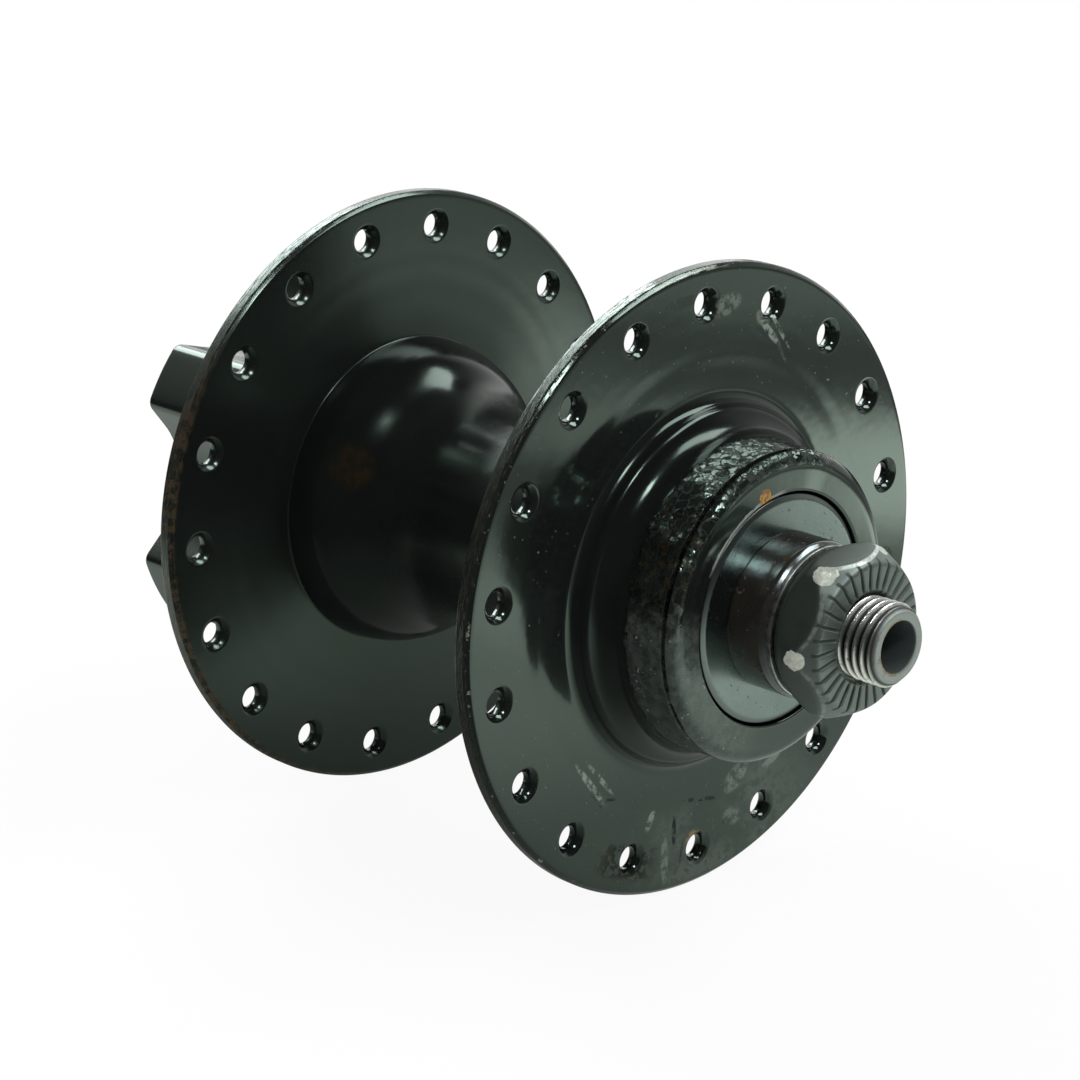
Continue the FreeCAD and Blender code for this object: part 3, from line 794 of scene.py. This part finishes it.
def flange_smears(s, broad, edge, outer_face):
    """Dried smears and strokes on the right flange's outer side, most of them low, and dirt at its foot.

    A stroke has its angle, radius, lean, length, width and share, and where strokes cross the most counts.
    """
    def together(strokes):
        """The strongest of the strokes at each place on the outer face."""
        mark = 0.0
        for *place, share in strokes:
            mark = (share * s.stroke(*place)).most(mark)
        return mark * outer_face

    pale = together([
        (227, 25.2, -53, 8.0, 0.9, 0.9), (229, 24.0, -50, 7.0, 0.7, 0.7), (253, 26.7, 62, 3.0, 1.1, 1.0),
        (260, 31.3, 90, 6.5, 1.4, 0.5), (284, 25.2, 30, 5.0, 3.0, 0.5), (296, 27.0, 22, 4.5, 1.2, 0.6),
        (281, 29.5, -20, 3.5, 2.4, 0.4), (69, 28.2, -48, 5.6, 1.0, 0.7), (66, 28.8, -56, 7.0, 0.6, 0.6),
        (72, 29.6, -30, 3.0, 2.2, 0.4), (84, 30.7, 10, 5.0, 2.6, 0.35), (132, 32.3, 40, 1.6, 0.6, 0.7),
    ])
    dark = together([
        (235, 25.6, -12, 4.2, 0.5, 1.0), (233, 26.4, -52, 5.0, 0.35, 0.8), (262, 28.3, 90, 4.6, 0.8, 1.0),
        (271, 25.4, -13, 7.5, 0.7, 1.0), (265, 30.8, 80, 3.6, 0.5, 0.8), (277, 30.4, 60, 3.6, 0.5, 0.8),
        (64, 27.0, -62, 4.5, 0.5, 0.8), (73, 27.8, -40, 3.5, 0.4, 0.8), (97, 32.2, 5, 6.0, 1.4, 0.6),
    ])
    dust = s.band(s.angle, 255.0, 300.0, 14.0) * s.ramp(s.radius, 24.0, 27.0) * outer_face
    s.lay(dust * s.ramp(broad, 0.42, 0.58), (0.075, 0.086, 0.070), 0.7, roughness=0.16)
    s.lay(dust * s.ramp(edge, 0.50, 0.58), (0.010, 0.012, 0.010), 0.7, roughness=0.2)
    s.lay(pale * s.ramp(edge, 0.40, 0.56), (0.27, 0.30, 0.25), 0.95, roughness=0.25)
    s.lay(dark * s.ramp(edge, 0.58, 0.48), (0.003, 0.003, 0.003), 0.9, roughness=0.6)
    mud = s.band(s.angle, 240.0, 256.0, 4.0) * s.band(s.radius, 29.5, 33.5, 0.8) * outer_face
    s.lay(mud * s.ramp(edge, 0.44, 0.52), (0.014, 0.010, 0.006), 0.95, roughness=0.7)
    x, z = polar(29.9, 268.5)
    s.lay(s.spot((x, right_face, z), 1.4) * s.ramp(edge, 0.36, 0.5), (0.30, 0.22, 0.06), 0.8, roughness=0.3)
    specks = s.ramp(s.noise(2.2, 2.0, 0.5), 0.72, 0.76) * outer_face
    s.lay(specks, (0.14, 0.13, 0.10), 0.8, roughness=0.3)


def worn_rims(s, edge):
    """Rims rubbed brown along the band, chipped to pale metal at the edges, rusty on the far flange,
    painted highlight atop the near bevel.
    """
    band = s.ramp(s.radius, 34.95, 35.1)
    streak = s.noise(1.5, 3.0, 0.7, at=s.vector(s.angle * 0.25, s.y * 3.0, 0.0))
    brown = s.band(s.angle, 128.0, 240.0, 12.0)
    s.lay(band * brown * s.ramp(streak, 0.35, 0.65), (0.018, 0.013, 0.009), roughness=0.2)
    s.lay(band * s.ramp(streak, 0.5, 0.65), rise=0.012)
    bevel = s.ramp(s.radius, 34.76, 34.88) * s.ramp(abs(s.y - right_face), 0.4, 0.25)
    s.lay(bevel * s.ramp(edge, 0.60, 0.65), (0.20, 0.19, 0.15), 0.8, roughness=0.2)
    # Painted highlight: a pale streaky line along the top of the near bevel, from 86 to 104 degrees round.
    s.lay(bevel * s.band(s.angle, 86.0, 104.0, 4.0) * s.ramp(streak, 0.42, 0.55), (0.38, 0.36, 0.28), 0.8)
    far = s.ramp(s.y, 18.0, 19.0) * s.ramp(s.radius, 34.3, 34.9)
    s.lay(far * s.band(s.angle, 150.0, 262.0, 20.0) * s.ramp(edge, 0.42, 0.6), (0.060, 0.036, 0.018), 0.8)


def start_paint(name, ior=1.75):
    """Fresh gloss black, with a slight orange peel from spraying, and softer on the far flange."""
    s = Finish(name, ior=ior, tint=(0.75, 1.0, 0.82))
    broad = s.noise(0.1, 3.0, 0.6)
    s.start(s.mix(broad, (0.0055, 0.0065, 0.006), (0.009, 0.011, 0.010)),
            0.075 + 0.06 * broad + 0.09 * s.ramp(s.y, 18.0, 19.5))
    s.lay(s.noise(0.35, 2.0, 0.5), rise=0.012)
    return s, broad, s.noise(0.9, 4.0, 0.65)


def make_flange_paint():
    """Paint of the barrel, flanges and disc mount, with turned waves, smears and worn rims."""
    s, broad, edge = start_paint("black_shell_paint")
    on_face = s.ramp(s.radius, 20.5, 22.5) * s.ramp(s.radius, 34.2, 34.9, 1.0, 0.0)
    outer_face = s.ramp(s.y, right_face + 0.3, right_face + 0.1) * on_face
    flange_waves(s, on_face)
    flange_smears(s, broad, edge, outer_face)
    worn_rims(s, edge)
    return s.finished()


def make_shaded_paint():
    """Darker, less glossy copy: painted shade between the flanges and on the neck, with a brown stain on
    the bulge.
    """
    # Painted shade: weaker gloss (IOR 1.5) than the flange paint, and darker in broad patches.
    s, broad, edge = start_paint("shaded_black_paint", 1.5)
    s.lay(s.ramp(broad, 0.3, 0.7), (0.004, 0.0045, 0.0045), roughness=0.09)
    s.lay(s.ramp(s.radius, 14.5, 13.0), roughness=0.12)
    stain = s.spot((-14.1, 13.9, 7.3), 3.2) * s.ramp(edge, 0.3, 0.75)
    s.lay(stain, (0.026, 0.013, 0.003), 0.8)
    return s.finished()


def make_collar_paint():
    """The same paint round the collar and the cap, where a later coat has wrinkled."""
    s, _, edge = start_paint("wrinkled_collar_paint")
    wrinkled_coat(s, edge)
    cap_chips(s, edge)
    return s.finished()


shell_paint = make_flange_paint()
collar_paint = make_collar_paint()
shell = make_piece("hub_shell_painted", shell_grids(), "shell", "hub_shell",
                   shell_paint)
shell.data.materials.append(collar_paint)
shell.data.materials.append(make_shaded_paint())
collar_end, neck_end = -30.8, -26.9
barrel_reach = 18.4
face_centres = np.empty(3 * len(shell.data.polygons))
shell.data.polygons.foreach_get("center", face_centres)
face_x, face_y, face_z = face_centres.reshape(-1, 3).T / MM
on_neck = face_y < neck_end
between = (face_y > right_inner + 0.1) & (face_y < left_inner - 0.1)
on_barrel = between & (np.hypot(face_x, face_z) < barrel_reach)
# The neck and the barrel between the flanges take the shaded copy of the paint (index 2), as painted shade.
which = np.where(face_y < collar_end, 1, np.where(on_barrel | on_neck, 2, 0))
shell.data.polygons.foreach_set("material_index", which.astype(np.int32))


# Dust caps: turned aluminium rings pressed into both ends of the shell and painted with it.
# The right one stands proud with a rounded shoulder, and the left one is sunk flush in the disc register.
cap_columns = 256
cap_bore_radius = 12.85
right_cap_face = node_ends("right_dust_cap")[0]
right_cap_radius = 17.1
right_cap_shoulder = 1.55
right_cap_crown = 0.24
right_cap_spigot = 13.55
right_cap_spigot_length = 1.4
left_cap_wall = 2.1
left_cap_depth = 3.0


def ring_grid(corners, columns, steps=3):
    """A ring turned from the closed profile through these corners."""
    return turned(eased(corners, closed=True, steps=steps), round_angles(columns))


right_cap = seam_bridged(ring_grid([
    (right_cap_face, cap_bore_radius, 0.22),
    (right_cap_face, right_cap_radius - right_cap_shoulder, 0.35),
    (right_end - seam_groove_half, right_cap_radius, 0.08, right_cap_crown),
    (right_end - seam_groove_half, seam_floor, 0.03),
    (right_end, seam_floor, 0.03),
    (right_end, right_cap_spigot),
    (right_end + right_cap_spigot_length, right_cap_spigot),
    (right_end + right_cap_spigot_length, cap_bore_radius),
], cap_columns))
left_cap = ring_grid([
    (left_end - left_cap_depth, cap_bore_radius),
    (left_end - left_cap_depth, cap_bore_radius + left_cap_wall),
    (left_end, cap_bore_radius + left_cap_wall, 0.3),
    (left_end, cap_bore_radius, 0.3),
], cap_columns)
for side, grid, finish in (("right", right_cap, collar_paint), ("left", left_cap, shell_paint)):
    make_piece(side + "_dust_cap_painted", [grid], "shell", side + "_dust_cap", finish)


# Lip seals: moulded black rubber rings that sit on the cones behind the shields.
# Their rubber is dull, with pale dust in places.
def make_seal_rubber():
    """Dull black, paler and rougher under the dust."""
    s = Finish("seal_rubber")
    dust = s.noise(1.1, 4.0, 0.6)
    colour = s.mix(s.ramp(dust, 0.45, 0.75), (0.014, 0.014, 0.014), (0.05, 0.045, 0.04))
    return s.paint(Base_Color=colour, Roughness=0.6 + 0.2 * dust, Normal=s.bump(dust, 0.00003, 0.5))


refinish(["right_lip_seal", "left_lip_seal"], make_seal_rubber())


# Dust shields: flat steel discs pressed onto the cones, with a rolled outer edge.
# They close the caps' openings and have a satin blue-grey face, with rings from turning.
def make_shield_steel():
    """Satin steel in cloudy greys, with fine turned rings, dark spots and an even grey outer edge."""
    s = Finish("shield_steel", metallic=1.0)
    cloud = s.noise(0.35, 4.0, 0.6)
    rings = s.noise(5.0, 2.0, 0.5, at=s.vector(s.radius, s.y, 0.0))
    s.start(s.mix(cloud, (0.14, 0.18, 0.163), (0.235, 0.29, 0.263)), 0.18 + 0.12 * cloud + 0.03 * rings)
    s.lay(rings, rise=0.004)
    s.lay(s.ramp(s.noise(1.6, 3.0, 0.6), 0.62, 0.72), (0.06, 0.065, 0.06), 0.6, roughness=0.2)
    s.lay(s.ramp(s.radius, 11.75, 12.0), (0.19, 0.225, 0.21), 0.85, roughness=0.05)
    return s.finished()


shield_steel = make_shield_steel()
shield_columns = 192
shield_radius = 12.55
shield_bore = 7.62
shield_edge = 0.55
shield_thickness = 0.8
for side, face, inward in (("right", right_cap_face, 1), ("left", left_end, -1)):
    back = face + inward * shield_thickness
    shield = ring_grid([
        (face, shield_bore),
        (face, shield_radius - shield_edge, 0.15),
        (face + inward * shield_edge / 2, shield_radius, 0.1),
        (back, shield_radius, 0.1),
        (back, shield_bore),
    ], shield_columns, steps=5)
    make_piece(side + "_dust_shield_satin", [shield], "axle_set", side + "_dust_shield",
               shield_steel)


# Spacer: a turned steel sleeve between the right cone and its washer.
# It is blackened, and polished by handling.
def make_spacer_steel():
    """Glossy black, browner where it is worn, with turned lines, slight dents and grey specks."""
    s = Finish("spacer_steel", ior=2.4, tint=(0.82, 0.98, 0.96))
    worn = s.noise(0.4, 4.0, 0.6)
    lines = s.noise(7.0, 2.0, 0.6, stretch=(0.06, 1.0, 0.06))
    s.start(s.mix(worn, (0.008, 0.008, 0.008), (0.030, 0.020, 0.014)), 0.10 + 0.12 * worn + 0.04 * lines)
    s.lay(lines, rise=0.008)
    s.lay(s.noise(0.3, 2.0, 0.5), rise=0.12)
    s.lay(s.ramp(s.noise(1.8, 3.0, 0.5), 0.66, 0.72), (0.12, 0.12, 0.12), 0.7, roughness=0.2)
    return s.finished()


spacer_outer, spacer_inner = node_ends("right_spacer")
spacer_columns = 160
spacer_bore = 4.6
spacer_radius = 8.55
spacer_edge_drop = 0.5
spacer_edge_length = 0.6
spacer = ring_grid([
    (spacer_outer, spacer_bore, 0.1),
    (spacer_outer, spacer_radius - spacer_edge_drop, 0.12),
    (spacer_outer + spacer_edge_length, spacer_radius, 0.3),
    (spacer_inner, spacer_radius),
    (spacer_inner, spacer_bore),
], spacer_columns, steps=5)
make_piece("right_spacer_polished", [spacer], "axle_set", "right_spacer",
           make_spacer_steel())


# Washers: thin zinc-plated steel rings under the lock nuts.
# Their plating has gone dull and brown in patches.
def make_washer_steel():
    """Pale zinc with darker, rougher stains."""
    s = Finish("washer_steel", metallic=1.0)
    stain = s.noise(0.9, 4.0, 0.6)
    s.start(s.mix(s.ramp(stain, 0.4, 0.7), (0.62, 0.65, 0.62), (0.26, 0.25, 0.22)), 0.24 + 0.2 * stain)
    s.lay(stain, rise=0.01)
    return s.finished()


washer_steel = make_washer_steel()
washer_columns = 160
washer_bore = 4.6
washer_radius = 8.3
for side in ("right", "left"):
    low, high = node_ends(side + "_washer")
    washer = ring_grid([(low, washer_bore), (low, washer_radius, 0.15), (high, washer_radius, 0.15),
                        (high, washer_bore)], washer_columns)
    make_piece(side + "_washer_zinc", [washer], "axle_set", side + "_washer", washer_steel)


# Lock nuts: 17 mm hexagons of blackened steel, bevelled at both ends, with 32 serrations that bite the fork
# ends. Spanners have chipped the black off the corners.
nut_half_flats = 8.5
nut_corner_radius = 9.45
nut_face_radius = 7.9
nut_back_radius = 7.75
nut_front_bevel = 2.4
nut_bore_radius = 4.53
nut_bore_bevel = 0.55
nut_edge_softness = 0.07
serrations = 32
columns_per_serration = 12
serration_depth = 0.28
serration_width = 0.55
serration_inner = 5.0
serration_runout = 0.5


def soft_least(values, softness):
    """Smallest of several arrays, rounded where they cross: a logarithm of summed exponentials."""
    middle = 8.0
    return -softness * np.log(sum(np.exp(-(v - middle) / softness) for v in values)) + middle


def nut_grid(thickness, back_bevel, turn):
    """Nut with its serrated face at depth 0: rows run over the face, the sides, the back and up the bore.

    A side point's radius is the soft least of the front cone, the back cone, the hexagon and the corners'
    cylinder. A serration is a V groove, deepest along its middle, that runs out towards the bore.
    """
    angle = round_angles(serrations * columns_per_serration)
    one = np.ones(len(angle))
    flat = np.mod(angle - math.radians(turn), np.pi / 3) - np.pi / 6
    hexagon = nut_half_flats / np.cos(flat)
    pitch = 2 * np.pi / serrations
    off = np.abs(np.mod(angle + pitch / 2, pitch) - pitch / 2)
    face = np.linspace(nut_bore_radius + nut_bore_bevel, nut_face_radius - 0.25, 14)[:, None]
    depth = np.concatenate([[0.02, 0.07, 0.15, 0.25, 0.38], np.linspace(0.55, nut_front_bevel, 9),
                            np.linspace(nut_front_bevel + 0.3, thickness - back_bevel - 0.3, 3),
                            np.linspace(thickness - back_bevel, thickness - 0.3, 7),
                            [thickness - 0.12, thickness - 0.03]])[:, None]
    front = nut_face_radius + (nut_corner_radius - nut_face_radius) * depth / nut_front_bevel
    back = nut_back_radius + (nut_corner_radius - nut_back_radius) * (thickness - depth) / back_bevel
    round_off = 0.25 * np.exp(-depth / 0.09) + 0.2 * np.exp(-(thickness - depth) / 0.08)
    sides = soft_least([front, back, hexagon, nut_corner_radius], nut_edge_softness) - round_off
    r = np.concatenate([face * one, sides])
    d = np.concatenate([0 * face * one, depth * one])
    groove = np.clip(1 - r * np.sin(off) / (serration_width / 2), 0, 1)
    groove = groove * np.clip((r - serration_inner) / serration_runout, 0, 1)
    d = np.maximum(d, serration_depth * groove)
    bore_r, bore_d = np.transpose([
        (nut_back_radius - 0.35, thickness),
        (6.0, thickness),
        (nut_bore_radius, thickness),
        (nut_bore_radius, nut_bore_bevel),
        (nut_bore_radius + nut_bore_bevel, 0.0),
    ])
    r = np.concatenate([r, bore_r[:, None] * one])
    d = np.concatenate([d, bore_d[:, None] * one])
    return np.stack([r * np.cos(angle), d, r * np.sin(angle)], axis=-1)


def make_nut_steel(name, turn, mouth, inward):
    """Black oxide on the flats, greyer on the face, darker grooves, bare steel on edges and corners,
    painted highlight on top edges.
    """
    s = Finish(name, ior=2.3, tint=(0.82, 1.0, 0.88))
    cloud = s.noise(0.6, 4.0, 0.6)
    grain = s.noise(2.6, 3.0, 0.6)
    s.start(s.mix(cloud, (0.012, 0.014, 0.012), (0.030, 0.035, 0.030)), 0.36 + 0.2 * cloud)
    s.lay(grain, rise=0.015)
    sixth = ((s.angle - turn + 360.0).math("MODULO", 60.0) - 30.0) * math.radians(1)
    across = s.radius * sixth.math("COSINE")
    depth = abs(s.y - mouth)
    off_flat = s.ramp(across, nut_half_flats - 0.06, nut_half_flats - 0.16)
    front = off_flat * s.ramp(depth, 2.6, 2.4)
    s.lay(front, s.mix(cloud, (0.036, 0.044, 0.038), (0.068, 0.080, 0.071)), roughness=-0.04)
    groove = (s.angle * (serrations / 360.0) + 0.5).math("FRACT") - 0.5
    groove = groove * (math.radians(360.0) / serrations) * s.radius
    groove = s.ramp(abs(groove), 0.16, 0.27, 1.0, 0.0) * s.ramp(depth, 0.9, 0.7)
    # The serration grooves are painted near black, darker than the face.
    s.lay(groove * s.band(s.radius, 5.1, 8.35, 0.12), (0.006, 0.007, 0.006), 0.95, roughness=0.35)
    between = s.band(abs(groove), 0.2, 0.8, 0.15) * s.ramp(depth, 0.6, 0.3) * s.ramp(cloud, 0.4, 0.55)
    s.lay(between, (0.16, 0.17, 0.15), 0.6)
    edge = s.band(across, nut_half_flats - 0.34, nut_half_flats - 0.1, 0.05) * s.ramp(depth, 2.9, 2.7)
    ragged = s.noise(1.1, 4.0, 0.65)
    worn = s.ramp(ragged, 0.42, 0.54)
    # Painted highlight: the top edges, from 62 to 128 degrees round, are painted pale and smoother.
    s.lay(edge * s.band(s.angle, 62.0, 128.0, 5.0), (0.75, 0.80, 0.74), 0.9, roughness=-0.2)
    s.lay(edge * worn, (0.20, 0.21, 0.18), 0.5)
    tilt = s.noise_vector(1.6, 0.9)
    chip_radius = 9.3
    for angle, length, size in ((120.0, 1.9, 1.25), (115.0, 1.3, 0.9), (181.0, 2.3, 1.2), (60.0, 1.8, 0.8)):
        x, z = polar(chip_radius, turn + angle)
        chip = s.ramp(s.spot((x, mouth + inward * length, z), 1.25 * size) + 2.2 * ragged, 1.65, 1.75)
        s.lay(chip, s.mix(grain, (0.26, 0.27, 0.21), (0.74, 0.76, 0.64)), 0.95, rise=-0.05)
        s.lean(tilt, chip)
    return s.finished()


for side, back_bevel, turn, inward in (("right", 2.4, 3.7, 1), ("left", 1.75, 20.0, -1)):
    low, high = node_ends(side + "_locknut")
    mouth = low if side == "right" else high
    nut = nut_grid(high - low, back_bevel, turn)
    nut[..., 1] = mouth + inward * nut[..., 1]
    make_piece(side + "_locknut_blackened", [nut], "axle_set", side + "_locknut",
               make_nut_steel(side + "_locknut_steel", turn, mouth, inward))


# The studio: a white table on which both flange rims rest, white surroundings, a long soft box high in
# front, a smaller one to its left and a window behind. The camera is the one that was fitted to the photo.
scene = bpy.context.scene
camera_dip = 18.9586
camera_turn = 44.9528
camera_data = bpy.data.cameras.new("camera")
camera_data.lens = 111.55
camera_data.sensor_width = 36.0
camera = bpy.data.objects.new("camera", camera_data)
camera.location = [c * MM for c in (-253.07, -255.34, 122.02)]
camera.rotation_euler = (math.radians(90 - camera_dip), 0, math.radians(-camera_turn))
scene.collection.objects.link(camera)
scene.camera = camera

half_table = 1.5
table_mesh = bpy.data.meshes.new("table")
table_corners = [(x * half_table, y * half_table, shell_low.z)
                 for x, y in ((-1, -1), (1, -1), (1, 1), (-1, 1))]
table_mesh.from_pydata(table_corners, [], [(0, 1, 2, 3)])
table = bpy.data.objects.new("table", table_mesh)
scene.collection.objects.link(table)


def rays(s):
    """One for a ray from the camera or through glass, and one for a ray from a mirror."""
    path = s.node("ShaderNodeLightPath", {}, {}, None).outputs
    camera_ray, glass_ray, mirror_ray = (Value(s, path["Is " + kind + " Ray"])
                                         for kind in ("Camera", "Transmission", "Glossy"))
    return camera_ray.most(glass_ray), mirror_ray


def make_table_white():
    """White to the camera and through glass, with part of the real shadow kept.

    Mirrors don't see this white. They see a dark table that is lit in front, with ten pools of light that
    were placed after the reflections in the photo. Each pool has its x, y, reach and glow.
    """
    material = bpy.data.materials.new("table_white")
    s = Shader(material, "ShaderNodeOutputMaterial")
    seen, mirrored = rays(s)
    _, table_x, table_y, _ = s.where()
    front = s.ramp(table_x, -95.0, 10.0) * s.ramp(table_y, -10.0, 60.0, 1.0, 0.0)
    glow = 0.04 + 0.22 * front
    for x, y, reach, pool in (
            (140.0, -50.0, 100.0, 0.5), (132.0, -108.0, 42.0, 2.1), (15.0, -120.0, 80.0, 0.75),
            (120.0, -180.0, 45.0, 0.2), (215.0, -205.0, 60.0, 0.5), (60.0, 0.0, 95.0, 0.15),
            (-60.0, 105.0, 90.0, 0.8), (20.0, -42.0, 55.0, 0.3), (60.0, -98.0, 34.0, 0.5),
            (118.0, -152.0, 28.0, 0.6)):
        away = ((table_x - x) * (table_x - x) + (table_y - y) * (table_y - y)).math("SQRT")
        glow = glow + s.ramp(away, 0.35 * reach, reach, pool, 0.0)
    lit = s.mix(mirrored, (0.85, 0.85, 0.85), s.shade(0.65 * glow))
    lit = s.node("ShaderNodeBsdfDiffuse", {}, {"Color": lit})
    bright = s.mix(mirrored, (1.0, 1.0, 1.0), s.shade(1.05 * glow, (0.95, 1.0, 0.95)))
    bright = s.node("ShaderNodeEmission", {}, {"Color": bright})
    mixed = s.node("ShaderNodeMixShader", {}, {0: 0.93 * seen + 0.8 * mirrored, 1: lit, 2: bright})
    s.tree.links.new(mixed.socket, s.output.inputs[0])
    return material


table_mesh.materials.append(make_table_white())


def outward(azimuth, elevation):
    """Direction away from the hub; azimuth 0 is towards -Y and 90 towards +X, in degrees."""
    a, e = math.radians(azimuth), math.radians(elevation)
    return math.sin(a) * math.cos(e), -math.cos(a) * math.cos(e), math.sin(e)


def make_room():
    """White to the camera and through glass, soft grey light for the rest.

    Mirrors don't see this white. They see a room that is almost dark but for a glow round three directions,
    each with its azimuth, elevation, reach in degrees and glow.
    """
    room = bpy.data.worlds.new("room")
    s = Shader(room, "ShaderNodeOutputWorld")
    seen, mirrored = rays(s)
    way = s.node("ShaderNodeTexCoord", {}, {}, 0)
    glow = 0.035
    for azimuth, elevation, reach, side in ((80, 0, 45, 0.5), (135, 15, 45, 1.5), (-165, 30, 30, 0.3)):
        near = s.vectors("DOT_PRODUCT", way, outward(azimuth, elevation), output=1)
        glow = glow + s.ramp(near, math.cos(math.radians(reach)), 1.0, 0.0, side)
    soft, dim, white = (s.node("ShaderNodeBackground", {}, {"Color": colour})
                        for colour in ((0.5, 0.5, 0.5, 1), s.shade(glow), (1, 1, 1, 1)))
    unseen = s.node("ShaderNodeMixShader", {}, {0: mirrored, 1: soft, 2: dim})
    mixed = s.node("ShaderNodeMixShader", {}, {0: seen, 1: unseen, 2: white})
    s.tree.links.new(mixed.socket, s.output.inputs[0])
    return room


scene.world = make_room()


def soft_box(name, azimuth, elevation, distance, width, height, glow):
    """Area lamp aimed at the hub from outward(azimuth, elevation). Glow is its brightness as seen."""
    lamp = bpy.data.lights.new(name, "AREA")
    lamp.shape = "RECTANGLE"
    lamp.size = width
    lamp.size_y = height
    lamp.energy = glow * math.pi * width * height
    lamp.color = (0.97, 0.98, 1.03)
    box = bpy.data.objects.new(name, lamp)
    box.location = np.array(outward(azimuth, elevation)) * distance
    box.rotation_euler = box.location.to_track_quat("Z", "Y").to_euler()
    scene.collection.objects.link(box)
    box.visible_camera = False


soft_box("soft_box_front", 52, 52, 0.6, 0.40, 0.17, 7.0)
soft_box("soft_box_left", -17, 49, 0.6, 0.10, 0.10, 22.0)
soft_box("window_behind", 167, 42, 0.8, 0.66, 0.25, 8.0)

scene.view_settings.view_transform = "Standard"
